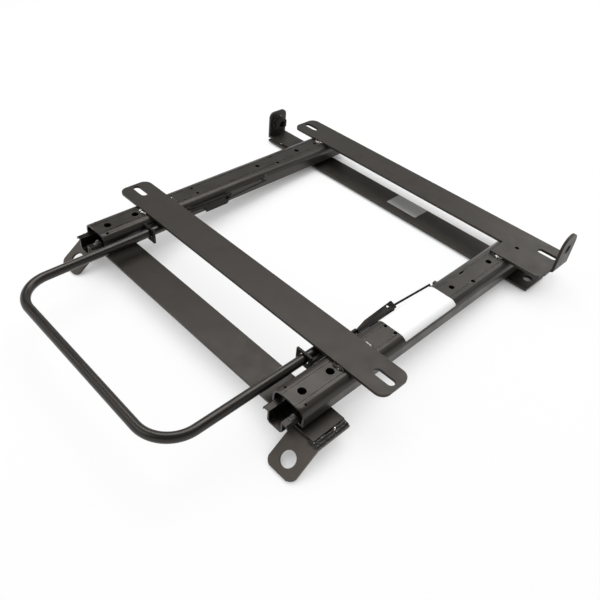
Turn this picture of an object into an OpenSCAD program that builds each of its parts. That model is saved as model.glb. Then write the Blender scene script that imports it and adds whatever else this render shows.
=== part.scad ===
// Seat base with a pair of slide rails, for bolting a car seat to the floor.
// The frame is the seat's bolt pattern: its centre is the origin, on the top of the plates.
// +X is the right side, -Y is the front with the handle, +Z is up.

/* [Top plates] */
// Thickness of the plates, bars, feet and brackets
plate_t = 3.2; // [2.6:0.1:4]
// Width of the two top plates
plate_w = 40; // [34:1:46]
// Length of the two top plates
plate_len = 418; // [390:1:440]
// Radius of the plates' corners
plate_corner_r = 10; // [4:1:15]
// From a plate's end to the middle of its slot
slot_end = 16; // [14:0.5:20]
// Seat bolt pitch from front to rear
slot_pitch_y = 290; // [284:1:296]
// Length of a seat bolt slot, end to end
slot_len = 24; // [14:1:26]
// Width of a seat bolt slot
slot_w = 8.6; // [7:0.1:11]
// How far the right end of the rear plate is widened to the front
flag_depth = 27; // [20:1:34]
// Hole in the widened end
flag_hole_d = 5; // [3:0.5:7]

/* [Belt tab] */
// How far the belt tab stands outside the plates' ends
belt_out = 5; // [3:0.5:9]
// Width of the belt tab
belt_w = 30; // [24:1:32]
// Height of the belt tab over the plate
belt_h = 42; // [38:1:50]
// Height of the belt bolt over the plate
belt_hole_z = 23; // [20:1:26]
// Diameter of the belt bolt's hole
belt_hole_d = 11; // [8:0.5:13]

/* [Rails] */
// Rails' middle, from the seat bolts' middle
rail_shift = -1.5; // [-2:0.5:2]
// Width of an upper rail
rail_w = 39; // [38:0.5:41]
// Height of an upper rail
rail_h = 18.8; // [18.5:0.1:19.5]
// Outer radius of an upper rail's shoulders
shoulder_r = 9; // [8.5:0.1:9.5]
// Sheet thickness of the rails
rail_t = 2; // [1.8:0.1:2.1]
// Front end of the upper rails
upper_front = -226.5; // [-232:0.5:-222]
// Rear end of the upper rails
upper_rear = 163; // [160:0.5:166]
// Front end of the lower rails
lower_front = -241.5; // [-245:0.5:-238]
// Rear end of the lower rails
lower_rear = 165; // [162:0.5:168]
// Whole height of the rail pair
pair_h = 24.8; // [24:0.1:27]
// Width of the lower rail's trough
trough_w = 19; // [18.5:0.1:19.2]
// Pitch of the lock notches
notch_pitch = 12; // [10:1:14]
// Number of lock notches
notch_count = 18; // [8:1:19]

/* [Ball races] */
// Diameter of the balls
ball_d = 4; // [3:0.1:4.2]
// Distance between the balls of a cage
ball_pitch = 14; // [10:1:16]
// Balls in a row of a cage
balls_in_row = 5; // [3:1:5]

/* [Lower bars and feet] */
// Width of the two lower bars
bar_w = 39; // [34:1:42]
// Middle of the front bar
front_bar_y = -206.5; // [-210:0.5:-203]
// Middle of the rear bar
rear_bar_y = 125; // [121:0.5:129]
// Length of the front bar
front_bar_len = 377; // [370:1:400]
// Right end of the rear bar
rear_bar_right = 199; // [194:1:206]
// Left end of the rear bar
rear_bar_left = -241; // [-250:1:-230]
// Bolt hole at the right end of the rear bar
rear_hole_d = 10.5; // [8:0.5:13]
// Width of a front foot
foot_w = 33.5; // [28:0.5:38]
// Distance between the front feet's bolt holes
foot_pitch = 355; // [346:1:360]
// Feet's middle, from the seat bolts' middle
foot_shift = 1.5; // [-3:0.5:3]
// Slope of a foot's tab below the level
foot_angle = 36.6; // [30:0.2:42]
// Length of a foot's tab
foot_len = 37; // [32:1:42]
// From the bend to the middle of the foot's hole
foot_hole_s = 22; // [19:0.5:24]
// Diameter of a foot's hole
foot_hole_d = 16; // [11:0.5:17]
// Outer face of the left bracket's tab, from the middle
tab_x = 246; // [244:1:252]
// Width of the left bracket
tab_w = 31; // [26:1:34]
// Top of the left bracket's tab
tab_top = 10; // [6:1:14]
// Nominal diameter of the left bracket's thread
tab_thread_d = 10; // [8:0.5:11]

/* [Handle and levers] */
// Diameter of the handle bar
handle_d = 10; // [8:0.5:10.4]
// Distance between the handle's arms
handle_pitch = 252; // [230:1:270]
// From a handle arm to its lever's hinge
lever_arm = 8; // [7.5:0.5:10]
// Middle of the handle's front run
handle_front = -336; // [-350:1:-310]
// Radius of the handle's corners, at the middle of the bar
handle_corner_r = 35; // [15:1:45]
// Height of the handle and its pivot
handle_z = -10.5; // [-11:0.1:-10.2]
// Pivot of the handle
handle_pivot_y = -146; // [-149:0.5:-144]
// Diameter of the handle's pivot pins
handle_pin_d = 5; // [4:0.1:6]
// Diameter of the levers' hinge pins
lever_pin_d = 3; // [2.4:0.1:3.2]
// Thickness of a lever
lever_t = 2.4; // [2:0.1:3]
// Diameter of the return wires
wire_d = 2.4; // [1.6:0.1:2.6]

/* [Hidden] */
$fn = 64;

paint = [0.16, 0.15, 0.14];
paint_light = [0.24, 0.23, 0.22];
bare_steel = [0.72, 0.72, 0.72];
nylon = [0.75, 0.74, 0.70];

// Clearances
run_gap = 0.06;    // a pin in its bore, on the radius
skirt_gap = 2;     // trough to the upper rail's turned-in edge
cut = 1;           // how far a cutter runs past a face

// Plates
slot_pitch_x = plate_len - 2 * slot_end;
belt_x = plate_len / 2 + belt_out;
flag_right = belt_x - 10;          // front corner of the widened part
plate_front = -slot_pitch_y / 2 - plate_w / 2;
rear_plate_front = slot_pitch_y / 2 - plate_w / 2;
slot_r = slot_w / 2;
belt_mid = slot_pitch_y / 2 - 8;
belt_r = belt_w / 2;
tab_in = belt_x - plate_t;
nut_af = 17;
nut_h = 9;

// Rails, seen from the front with the rail's centre line at u = 0
rail_top = -plate_t;
half_w = rail_w / 2;
handle_x = handle_pitch / 2;
lever_x = handle_x + lever_arm;
lever_gap = 3.5;                   // lever's hinge to the rail's wall
rail_x = lever_x + lever_gap + half_w;
flag_lap = 11;                     // widened part's reach past the rail's middle
flag_nose = [4, 2.5];              // corner cut at the flag's front
flag_run = 12;                     // flag's front to where the tab begins
flag_hole_at = [18, 2];            // from the flag's inner end and the plate's front
flag_left = rail_x - flag_lap;     // inner end of the widened part
inner_half = half_w - rail_t;
rail_bottom = rail_top - rail_h;
skirt_top = rail_bottom + rail_t;
arc_u = half_w - shoulder_r;
arc_z = rail_top - shoulder_r;
pair_bottom = rail_top - pair_h;
trough_half = trough_w / 2;
mouth_half = trough_half + skirt_gap;
floor_top = pair_bottom + rail_t;
floor_chamfer = 2.5;
race_h = ball_d + 1;               // from the lip's under face to the turned-in edge
lip_under = skirt_top + race_h;
lip_top = lip_under + rail_t;
lip_flat = trough_half + 3.5;      // where the lip turns down
lip_end = half_w - rail_t - 2;
lip_slope_in = rail_t * (sqrt(2) - 1);
notch_depth = 1.3;
notch_w = 7;
notch_start = -160;
groove_u = 8.5;
groove_w = 0.9;
groove_d = 0.5;

// Holes along an upper rail's top: place along the rail, place across, diameter
top_holes = [
    [upper_front + 16, 0, 8.6], [upper_front + 51.5, 0, 8.6],
    [-90.5, 6, 4], [-90.5, -6.5, 4], [11, 0, 6.4], [38.5, 8.8, 5], [82, 0, 7], [117, 0, 5]
];
pierce_hole = 3;
pierce_u = 13;
lance_u = 8.2;
lance_w = 2;
lance_y = [37, 44];

// Ear on a rail's inner shoulder, behind the return wire's end
ear_out = 0.8;
ear_in = 2.3;
ear_y = [5.8, 9.8];
ear_z = [-9.5, -6.5];

// Ball races
ball_r = ball_d / 2;
low_ball = [trough_half + 0.5 + ball_r, skirt_top + race_h / 2];
high_ball = [arc_u + 3.5, arc_z + 2.6];
cage_in = inner_half - 1.3;
cage_out = inner_half - 0.5;
cage_low = skirt_top + 0.7;
cage_high = arc_z + 1.4;
cage_web = 0.7;
cage_len = ball_pitch * balls_in_row;

// Lower bars, feet and bracket
bar_top = pair_bottom;
bar_bottom = bar_top - plate_t;
foot_bend_y = front_bar_y - bar_w / 2;
foot_corner_r = 9;
bend_steps = 8;
corner_slack = 0.3;                // the cutter crosses the tab's sides
bracket_in = rail_x + trough_half + 2;
tab_mid_z = (bar_top + tab_top) / 2 + 2;

// Handle and levers, right side
handle_r = handle_d / 2;
handle_end = handle_pivot_y + handle_r;
bracket_t = 2.5;
bracket_half = 7;
bracket_low = 6.5;                 // below the pivot
bracket_x = handle_x - handle_r - 0.9 - bracket_t;
lever_in = lever_x - lever_t / 2;
lever_out = lever_x + lever_t / 2;
flange_y = -178;
flange_in = handle_x - 10;
flange_top = -3;
flange_bottom = -20;
flange_bore_r = handle_r + 1;
knuckle_r = lever_pin_d / 2 + 1.3;
knuckle_front = -136;
knuckle_len = 16;
knuckle_rear = knuckle_front + knuckle_len;
lug_front = knuckle_rear + 0.5;
lug_t = 3;
lug_half = 3;
lever_end = -55;
eye_y = lever_end - 5;
lock_len = 36;
lock_front = lever_end - lock_len; // front of the lock plate under the strip
lock_low = rail_bottom + 0.7;
lock_corner = 4;
lever_drop = knuckle_rear + 9;     // where the web's top steps down under the strip
strip_w = 9;                       // top strip, which slopes down to the rail
strip_slope = 21;
strip_in = lever_x - 5.7;
strip_high = handle_z + 5.6;
strip_front = lug_front + lug_t + 3;
strip_nose = strip_w - 3.9;        // taper of the strip's front end
belly_run = 15;
strip_belly = [2, strip_front + belly_run];
strip_corner = 1.2;
strip_hole_d = 5;
strip_hole_u = 3.9;
strip_hole_y = lever_end - 8;
web_top = strip_high - (lever_x - strip_in) * tan(strip_slope) - lever_t / 2;
tooth_front = lever_end - 7.5;     // narrow enough for a lock notch
tooth_rear = lever_end - 1.5;
tooth_top = lip_under + 1;
tooth_bottom = tooth_top - 2.5;
tooth_tip = rail_x - lip_end - 0.6;
cage_roll = 45;                    // half of the slide's travel from the middle
cage_starts = [tooth_front - cage_roll - cage_len - 2.5, 30];
wire_r = wire_d / 2;
wire_pin_d = wire_d - 0.5;          // the wire's crimped ends
eye_z = handle_z - 1.5;
wire_x = lever_in - 1.4 - wire_r;
wire_end_y = 4;

// A flat shape in X and Z, swept along Y
module along_y(from, to) {
    translate([0, to, 0]) rotate([90, 0, 0]) linear_extrude(to - from) children();
}

// A flat shape in Y and Z, swept along X
module along_x(from, to) {
    translate([from, 0, 0]) rotate([90, 0, 90]) linear_extrude(to - from) children();
}

// A block between two corners
module block(low, high) {
    translate(low) cube(high - low);
}

// A round hole cutter through a level plate
module drill(x, y, top, depth, d) {
    translate([x, y, top - depth - cut]) cylinder(h = depth + 2 * cut, d = d);
}

// A straight round rod between two points
module rod(from, to, d) {
    way = to - from;
    length = norm(way);
    translate(from)
        rotate([0, acos(way[2] / length), atan2(way[1], way[0])])
            cylinder(h = length, d = d);
}

// A rectangle with round corners, from its lower left corner
module rounded(size, r) {
    translate([r, 0]) square([size[0] - 2 * r, size[1]]);
    translate([0, r]) square([size[0], size[1] - 2 * r]);
    for (x = [r, size[0] - r], y = [r, size[1] - r]) translate([x, y]) circle(r);
}

// Puts a right side piece of the slides on the right or, mirrored, on the left
module on_side(side) {
    translate([rail_shift, 0, 0]) mirror([side < 0 ? 1 : 0, 0, 0]) children();
}

// A round sector from the +X axis, turning left
module bend_sector(r, angle) {
    intersection() {
        circle(r);
        polygon([[0, 0], [2 * r, 0], [2 * r * cos(angle), 2 * r * sin(angle)]]);
    }
}

// A slot along X through a level plate
module slot_cut(x, y) {
    half = slot_len / 2 - slot_r;
    translate([x, y, -plate_t - cut]) {
        for (side = [-half, half]) translate([side, 0, 0]) cylinder(h = plate_t + 2 * cut, r = slot_r);
        translate([-half, -slot_r, 0]) cube([2 * half, slot_w, plate_t + 2 * cut]);
    }
}

// A weld nut with its thread's bore, its seat at the origin, along +Z
module weld_nut(thread_d) {
    difference() {
        cylinder(h = nut_h, d = nut_af / cos(30), $fn = 6);
        translate([0, 0, -cut]) cylinder(h = nut_h + 2 * cut, d = thread_d);
    }
}

module front_top_plate() {
    color(paint) difference() {
        translate([-plate_len / 2, plate_front, -plate_t])
            linear_extrude(plate_t) rounded([plate_len, plate_w], plate_corner_r);
        for (side = [-1, 1]) slot_cut(side * slot_pitch_x / 2, -slot_pitch_y / 2);
    }
}

// The rear plate's outline: widened at the right end, with its corners cut towards the belt tab
module rear_plate_outline() {
    left = -plate_len / 2;
    rear = rear_plate_front + plate_w;
    flag_front = rear_plate_front - flag_depth;
    translate([left, rear_plate_front]) rounded([plate_corner_r * 3, plate_w], plate_corner_r);
    polygon([
        [left + plate_corner_r, rear_plate_front], [flag_left, rear_plate_front], [flag_left, flag_front],
        [flag_right, flag_front], [flag_right + flag_nose.x, flag_front + flag_nose.y],
        [tab_in, flag_front + flag_run],
        [tab_in, belt_mid + belt_r], [flag_right, rear], [left + plate_corner_r, rear]
    ]);
}

module rear_top_plate() {
    color(paint) difference() {
        union() {
            translate([0, 0, -plate_t]) linear_extrude(plate_t) rear_plate_outline();
            along_x(tab_in, belt_x) {
                translate([belt_mid - belt_r, 0]) square([belt_w, belt_h - belt_r]);
                translate([belt_mid, belt_h - belt_r]) circle(belt_r);
            }
            // the tab's bend
            along_y(belt_mid - belt_r, belt_mid + belt_r)
                translate([tab_in, 0]) rotate(-90) bend_sector(plate_t, 90);
        }
        for (side = [-1, 1]) slot_cut(side * slot_pitch_x / 2, slot_pitch_y / 2);
        drill(flag_left + flag_hole_at.x, rear_plate_front + flag_hole_at.y, 0, plate_t, flag_hole_d);
        translate([tab_in - cut, belt_mid, belt_hole_z]) rotate([0, 90, 0])
            cylinder(h = plate_t + 2 * cut, d = belt_hole_d);
    }
}

// The arch of an upper rail, for its outer or inner face
module arch(half, top, r, low) {
    translate([-half, low]) square([2 * half, top - r - low]);
    translate([r - half, low]) square([2 * (half - r), top - low]);
    for (side = [-1, 1]) translate([side * (half - r), top - r]) circle(r);
}

module upper_rail_section() {
    difference() {
        arch(half_w, rail_top, shoulder_r, rail_bottom);
        arch(inner_half, rail_top - rail_t, shoulder_r - rail_t, skirt_top);
        translate([-mouth_half, rail_bottom - cut]) square([2 * mouth_half, rail_t + 2 * cut]);
        for (side = [-1, 1]) translate([side * groove_u - groove_w / 2, rail_top - groove_d])
            square([groove_w, groove_d + cut]);
    }
}

// hand is 1 for the right rail and -1 for the left, which is mirrored but pierced alike
module upper_rail(hand) {
    wall_in = rail_x - half_w;
    color(paint) difference() {
        union() {
            translate([rail_x, 0, 0]) along_y(upper_front, upper_rear) upper_rail_section();
            block([lever_x - lug_half, lug_front, handle_z - lug_half],
                  [wall_in + rail_t / 2, lug_front + lug_t, handle_z + lug_half]);
            block([wall_in - ear_out, ear_y[0], ear_z[0]], [wall_in + ear_in, ear_y[1], ear_z[1]]);
        }
        for (h = top_holes) drill(rail_x + hand * h[1], h[0], rail_top, rail_t, h[2]);
        for (side = [-1, 1]) translate([rail_x + side * pierce_u, upper_front + 8, rail_top - rail_t])
            cube([pierce_hole, pierce_hole, 2 * rail_t + cut], center = true);
        block([rail_x - hand * lance_u - lance_w / 2, lance_y[0], rail_top - rail_t - cut],
              [rail_x - hand * lance_u + lance_w / 2, lance_y[1], rail_top + cut]);
        // window for the lever's tooth
        block([wall_in - cut, tooth_front - 2, skirt_top + 0.5],
              [wall_in + rail_t + cut, tooth_rear + 2, lip_top + 0.5]);
        // holes for the hinge pin and the return wire
        translate([lever_x, lug_front - cut, handle_z]) rotate([-90, 0, 0])
            cylinder(h = lug_t + 2 * cut, d = lever_pin_d);
        translate([wall_in - cut, wire_end_y, eye_z]) rotate([0, 90, 0])
            cylinder(h = 5 + cut, d = wire_pin_d + 0.4);
    }
}

module upper_rail_right() {
    on_side(1) upper_rail(1);
}

module upper_rail_left() {
    on_side(-1) upper_rail(-1);
}

module lower_rail_section() {
    right = [
        [trough_half - floor_chamfer, pair_bottom],
        [trough_half, pair_bottom + floor_chamfer], [trough_half, lip_under], [lip_flat, lip_under],
        [lip_end, lip_under - (lip_end - lip_flat)],
        [lip_end, lip_top - (lip_end - lip_flat) + lip_slope_in], [lip_flat + lip_slope_in, lip_top],
        [trough_half - rail_t, lip_top], [trough_half - rail_t, floor_top + floor_chamfer - 1],
        [trough_half - floor_chamfer - 1, floor_top]
    ];
    left = [for (i = [len(right) - 1 : -1 : 0]) [-right[i][0], right[i][1]]];
    polygon(concat(right, left));
}

module lower_rail() {
    color(paint) difference() {
        translate([rail_x, 0, 0]) along_y(lower_front, lower_rear) lower_rail_section();
        // lock notches in the inner lip
        for (i = [0 : notch_count - 1])
            block([rail_x - lip_end - cut, notch_start + i * notch_pitch, lip_under - 4],
                  [rail_x - lip_end + notch_depth, notch_start + i * notch_pitch + notch_w, lip_top]);
    }
}

module lower_rail_right() {
    on_side(1) lower_rail();
}

module lower_rail_left() {
    on_side(-1) lower_rail();
}

// Bumpers on the right hand lip of both lower rails
module front_stops() {
    stop_len = 8.5;
    stop_w = 4.5;
    stop_h = 4.4;
    color(nylon) for (side = [-1, 1])
        translate([rail_shift + side * rail_x + trough_half - rail_t + 1, lower_front + 6, lip_top])
            cube([stop_w, stop_len, stop_h]);
}

module front_cross_bar() {
    color(paint) block([-front_bar_len / 2, front_bar_y - bar_w / 2, bar_bottom],
                       [front_bar_len / 2, front_bar_y + bar_w / 2, bar_top]);
}

module rear_cross_bar() {
    color(paint) difference() {
        block([rear_bar_left, rear_bar_y - bar_w / 2, bar_bottom],
              [rear_bar_right, rear_bar_y + bar_w / 2, bar_top]);
        drill(rear_bar_right - 10, rear_bar_y, bar_top, plate_t, rear_hole_d);
    }
}

// Cuts a tab's corner round, with the corner at the origin and the tab in the first quarter
module corner_cut(r, thickness) {
    centre = r - corner_slack;
    translate([0, 0, -cut]) difference() {
        translate([-cut, -cut, 0]) cube([centre + cut, centre + cut, thickness + 2 * cut]);
        translate([centre, centre, -cut]) cylinder(h = thickness + 4 * cut, r = r);
    }
}

// A foot: a level plate, a bend and a sloping tab, with the bend's inner edge at the origin
module foot() {
    bend = [for (i = [0 : bend_steps]) let (a = foot_angle * i / bend_steps) plate_t * [-sin(a), cos(a)]];
    end_low = -foot_len * [cos(foot_angle), sin(foot_angle)];
    end_high = end_low + bend[bend_steps];
    difference() {
        along_x(-foot_w / 2, foot_w / 2)
            polygon(concat([[0, 0], [bar_w, 0], [bar_w, plate_t]], bend, [end_high, end_low]));
        rotate([foot_angle, 0, 0]) {
            translate([-foot_w / 2, -foot_len, 0]) corner_cut(foot_corner_r, plate_t);
            translate([foot_w / 2, -foot_len, 0]) mirror([1, 0, 0]) corner_cut(foot_corner_r, plate_t);
            translate([0, -foot_hole_s, -cut]) cylinder(h = plate_t + 2 * cut, d = foot_hole_d);
        }
    }
}

module front_foot_right() {
    color(paint) translate([foot_shift + foot_pitch / 2, foot_bend_y, bar_bottom - plate_t]) foot();
}

module front_foot_left() {
    color(paint) translate([foot_shift - foot_pitch / 2, foot_bend_y, bar_bottom - plate_t]) foot();
}

module rear_left_bracket() {
    r = 8;
    low_y = rear_bar_y - tab_w / 2;
    color(paint) difference() {
        union() {
            block([-tab_x, low_y, bar_top], [-bracket_in, low_y + tab_w, bar_top + plate_t]);
            along_x(-tab_x, -tab_x + plate_t) {
                translate([low_y, bar_top]) square([tab_w, tab_top - bar_top - r]);
                translate([low_y + r, bar_top]) square([tab_w - 2 * r, tab_top - bar_top]);
                for (y = [low_y + r, low_y + tab_w - r]) translate([y, tab_top - r]) circle(r);
            }
        }
        translate([-tab_x - cut, rear_bar_y, tab_mid_z]) rotate([0, 90, 0])
            cylinder(h = plate_t + 2 * cut, d = tab_thread_d);
    }
}

module bracket_nut() {
    color(paint_light) translate([-tab_x + plate_t, rear_bar_y, tab_mid_z])
        rotate([0, 90, 0]) weld_nut(tab_thread_d);
}

module handle_bar() {
    straight = handle_x - handle_corner_r;
    arm_front = handle_front + handle_corner_r;
    color(paint) translate([rail_shift, 0, 0]) difference() {
        union() {
            translate([-straight, handle_front, handle_z]) rotate([0, 90, 0])
                cylinder(h = 2 * straight, r = handle_r);
            for (side = [-1, 1]) {
                translate([side * handle_x, arm_front, handle_z]) rotate([-90, 0, 0])
                    cylinder(h = handle_end - arm_front, r = handle_r);
                translate([side * straight, arm_front, handle_z])
                    rotate([0, 0, side > 0 ? -90 : 180]) rotate_extrude(angle = 90)
                        translate([handle_corner_r, 0]) circle(handle_r);
            }
        }
        for (side = [-1, 1]) translate([side * handle_x, handle_pivot_y, handle_z]) rotate([0, 90, 0])
            cylinder(h = handle_d + 2 * cut, d = handle_pin_d + 2 * run_gap, center = true);
    }
}

// Brackets under the front plate that carry the handle
module pivot_brackets() {
    color(paint) for (side = [-1, 1]) on_side(side) difference() {
        block([bracket_x, handle_pivot_y - bracket_half, handle_z - bracket_low],
              [bracket_x + bracket_t, handle_pivot_y + bracket_half, -plate_t]);
        translate([bracket_x - cut, handle_pivot_y, handle_z]) rotate([0, 90, 0])
            cylinder(h = bracket_t + 2 * cut, d = handle_pin_d);
    }
}

module handle_pins() {
    color(bare_steel) for (side = [-1, 1]) on_side(side)
        translate([bracket_x, handle_pivot_y, handle_z]) rotate([0, 90, 0])
            cylinder(h = handle_x + handle_r - 0.4 - bracket_x, d = handle_pin_d);
}

module lever_pins() {
    color(bare_steel) for (side = [-1, 1]) on_side(side)
        translate([lever_x, knuckle_front + 0.5, handle_z]) rotate([-90, 0, 0])
            cylinder(h = lug_front + lug_t - knuckle_front - 0.5, d = lever_pin_d);
}

// Side view of a lever's upright web
module lever_side() {
    arm_top = handle_z + 3;
    arm_low = handle_z - 3;
    bridge = handle_z + 4;
    polygon([
        [flange_y, arm_low], [knuckle_rear - 1, arm_low], [knuckle_rear - 1, bridge],
        [lug_front + lug_t + 1, bridge], [lug_front + lug_t + 1, arm_low], [lock_front - 1, arm_low],
        [lock_front, lock_low], [lever_end - lock_corner, lock_low],
        [lever_end - 0.5, lock_low + lock_corner], [lever_end - 0.5, web_top], [lever_drop, web_top],
        [lever_drop - 4, bridge + 2], [knuckle_front, bridge + 2], [knuckle_front - 6, arm_top],
        [flange_y, arm_top]
    ]);
}

// The strip along a lever's top, from its inner edge, with the hole near its rear end
module lever_strip() {
    translate([strip_in, 0, strip_high]) rotate([0, strip_slope, 0]) difference() {
        translate([0, 0, -lever_t]) linear_extrude(lever_t) polygon([
            [0, lever_end - strip_corner], [strip_corner, lever_end], [strip_w, lever_end],
            [strip_w, strip_front], [strip_nose, strip_front], strip_belly
        ]);
        drill(strip_hole_u, strip_hole_y, 0, lever_t, strip_hole_d);
    }
}

module lever() {
    color(paint_light) difference() {
        union() {
            along_x(lever_in, lever_out) lever_side();
            lever_strip();
            block([flange_in, flange_y, flange_bottom], [lever_out, flange_y + lever_t, flange_top]);
            translate([lever_x, knuckle_front, handle_z]) rotate([-90, 0, 0])
                cylinder(h = knuckle_rear - knuckle_front, r = knuckle_r);
            block([lever_in, tooth_front, tooth_bottom], [tooth_tip, tooth_rear, tooth_top]);
        }
        translate([handle_x, flange_y - cut, handle_z]) rotate([-90, 0, 0])
            cylinder(h = lever_t + 2 * cut, r = flange_bore_r);
        translate([lever_x, knuckle_front - cut, handle_z]) rotate([-90, 0, 0])
            cylinder(h = knuckle_rear - knuckle_front + 2 * cut, d = lever_pin_d + 2 * run_gap);
        translate([lever_in - cut, eye_y, eye_z]) rotate([0, 90, 0])
            cylinder(h = lever_t + 4 * cut, d = wire_d + 1.2);
    }
}

module lever_right() {
    on_side(1) lever();
}

module lever_left() {
    on_side(-1) lever();
}

// The wire that turns a lever back, with a crimped pin at each end, from the lever's eye to the rail's wall
module return_wire() {
    wall = rail_x - half_w + 1.5;
    front = [wire_x, eye_y, eye_z];
    rear = [lever_x, wire_end_y, eye_z];
    past = 1.3 * wire_r * (rear - front) / norm(rear - front);
    color(bare_steel) {
        rod(front - past, rear + past, wire_d);
        rod(front, [lever_out + 0.6, eye_y, eye_z], wire_pin_d);
        rod(rear, [wall, wire_end_y, eye_z], wire_pin_d);
    }
}

module return_wire_right() {
    on_side(1) return_wire();
}

module return_wire_left() {
    on_side(-1) return_wire();
}

// One cage: a strip beside the lip, with a finger on each side of every ball
module cage() {
    block([cage_in, 0, cage_low], [cage_out, cage_len + cage_web, cage_high]);
    for (i = [0 : balls_in_row]) translate([0, i * ball_pitch, 0]) {
        block([high_ball[0] - 1, 0, cage_high - cage_web], [cage_in, cage_web, cage_high]);
        block([low_ball[0] - 1, 0, cage_low], [cage_in, cage_web, cage_low + cage_web]);
    }
}

// Both sides of a rail, front and rear
module on_races() {
    for (side = [0, 1], start = cage_starts)
        translate([rail_x, start, 0]) mirror([side, 0, 0]) children();
}

module ball_cages_right() {
    color(bare_steel) on_side(1) on_races() cage();
}

module ball_cages_left() {
    color(bare_steel) on_side(-1) on_races() cage();
}

// The balls of one cage, in its lower and upper row
module cage_balls() {
    for (i = [0 : balls_in_row - 1], spot = [low_ball, high_ball])
        translate([spot[0], (i + 0.5) * ball_pitch + cage_web / 2, spot[1]]) sphere(ball_r);
}

module balls_right() {
    color(bare_steel) on_side(1) on_races() cage_balls();
}

module balls_left() {
    color(bare_steel) on_side(-1) on_races() cage_balls();
}

lower_rail_left();
lower_rail_right();
front_cross_bar();
rear_cross_bar();
front_foot_left();
front_foot_right();
rear_left_bracket();
bracket_nut();
front_stops();
upper_rail_left();
upper_rail_right();
front_top_plate();
rear_top_plate();
pivot_brackets();
handle_pins();
lever_pins();
return_wire_left();
return_wire_right();
handle_bar();
lever_left();
lever_right();
ball_cages_left();
ball_cages_right();
balls_left();
balls_right();
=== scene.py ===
"""Finish of the seat slide rail: paint, steel, welds, blank labels, and a plain studio."""
from math import cos, pi, radians, sin, sqrt

import bmesh
import bpy
from bpy.props import FloatProperty, FloatVectorProperty, IntProperty, PointerProperty
from mathutils import Matrix, Vector


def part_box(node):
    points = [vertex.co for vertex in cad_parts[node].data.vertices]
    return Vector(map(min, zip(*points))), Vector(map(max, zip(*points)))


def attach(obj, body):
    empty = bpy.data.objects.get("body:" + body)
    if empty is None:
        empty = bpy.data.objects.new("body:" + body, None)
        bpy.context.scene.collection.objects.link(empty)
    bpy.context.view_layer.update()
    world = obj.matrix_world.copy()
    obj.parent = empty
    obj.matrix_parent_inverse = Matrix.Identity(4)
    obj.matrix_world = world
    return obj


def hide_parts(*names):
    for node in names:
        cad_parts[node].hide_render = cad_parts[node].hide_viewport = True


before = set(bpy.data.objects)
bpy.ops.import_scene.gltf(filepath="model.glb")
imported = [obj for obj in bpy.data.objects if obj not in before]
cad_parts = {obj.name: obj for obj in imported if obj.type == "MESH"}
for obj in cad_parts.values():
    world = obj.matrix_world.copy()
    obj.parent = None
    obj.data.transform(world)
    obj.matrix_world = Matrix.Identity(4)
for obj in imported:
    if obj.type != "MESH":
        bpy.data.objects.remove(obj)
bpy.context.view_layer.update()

bl_info = {
    "name": "Seat Slide Rail Finish",
    "version": (1, 0, 0),
    "blender": (4, 5, 0),
    "location": "3D View > Sidebar > Slide Rail",
    "description": "Paints the slide rail's solids, adds its welds, pins and labels, and lights it",
    "category": "Object",
}

MM = 0.001

# Places of the added pieces on the solids, in mm
SHOULDER_R = 9.0                # round shoulders of the upper rails
RAIL_FLAT_HALF = 10.5           # half of the flat between the shoulders
RAIL_LABEL_FRONT = -88.0        # front end of the rail's label
BAR_LABEL_LEFT = -20.0          # left end of the rear bar's foil
BAR_LABEL_INSET = 14.0          # middle of the foil, from the bar's rear edge
FOOT_ROWS = ((1.4, 0.9), (4.2, 0.3))    # reach past the bar's end and rise, for each row of a foot's weld
FOOT_ROW_ENDS = (0.5, 2.0)      # gaps at the front and rear of a row
FOOT_BOW = 0.3                  # how far a row bows outwards
FOOT_RETURN = ((3.6, -0.2, 0.3), (-3.0, -0.4, 0.6))     # outwards, rearwards and up, round the bar's corner
SEAT_HALF = 8.2                 # from a lower rail's middle to its seat welds
SEAT_INSET = 4.0                # from a bar's edges to the ends of the seat welds
SEAT_RISE = 0.6                 # height of a seat weld's middle over what it lies on
BRACKET_RUN = (8.0, 30.0)       # ends of the bracket's welds, from its left face
BRACKET_GAP = 0.4               # from the bracket's edges to its welds
PLATE_LAPS = (0.4, 2.0)         # the two laps of a tack, from the plate's edge
PLATE_TACK_HALF = 5.8           # half length of a tack, before its laps shorten it
PLATE_TACK_RISE = 0.3           # height of a tack's middle over the rail's top
PLATE_TACK_SHIFT = {"left": 1.5, "right": 1.0}  # from the rail's middle to the tack's
LEAST_RAIL_BEHIND = 5.0         # rail that a plate's rear tack needs behind the plate
NUT_WELD_R = 9.2                # ring of weld round the nut
NUT_WELD_INSET = 0.2            # its middle, from the bracket's face
PIVOT_WELD_INSET = (2.5, 2.0, 0.5)      # from a pivot bracket's side, ends and top
LEVER_PIN_R = 1.5               # hinge pins of the levers
THREAD_INSET = 0.6              # plain lead at both ends of the thread

PLATE_NODES = ("front_top_plate", "rear_top_plate", "front_cross_bar", "rear_cross_bar", "rear_left_bracket")
FOOT_NODES = ("front_foot_left", "front_foot_right")
UPPER_RAIL_NODES = ("upper_rail_left", "upper_rail_right")
LOWER_RAIL_NODES = ("lower_rail_left", "lower_rail_right")
LEVER_NODES = ("lever_left", "lever_right", "pivot_brackets", "bracket_nut")
WIRE_NODES = ("return_wire_left", "return_wire_right")
PIN_NODES = ("handle_pins", "lever_pins")
CAGE_NODES = ("ball_cages_left", "ball_cages_right")
BALL_NODES = ("balls_left", "balls_right")


def length(name, text, default):
    """A size in metres"""
    return FloatProperty(
        name=name, description=text, default=default, subtype="DISTANCE", unit="LENGTH", precision=5)


def colour(name, text, default):
    """A linear colour"""
    return FloatVectorProperty(
        name=name, description=text, default=default, subtype="COLOR", size=3, min=0, max=1)


def number(name, text, default):
    """A plain number, in the unit that its description names"""
    return FloatProperty(name=name, description=text, default=default)


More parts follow.
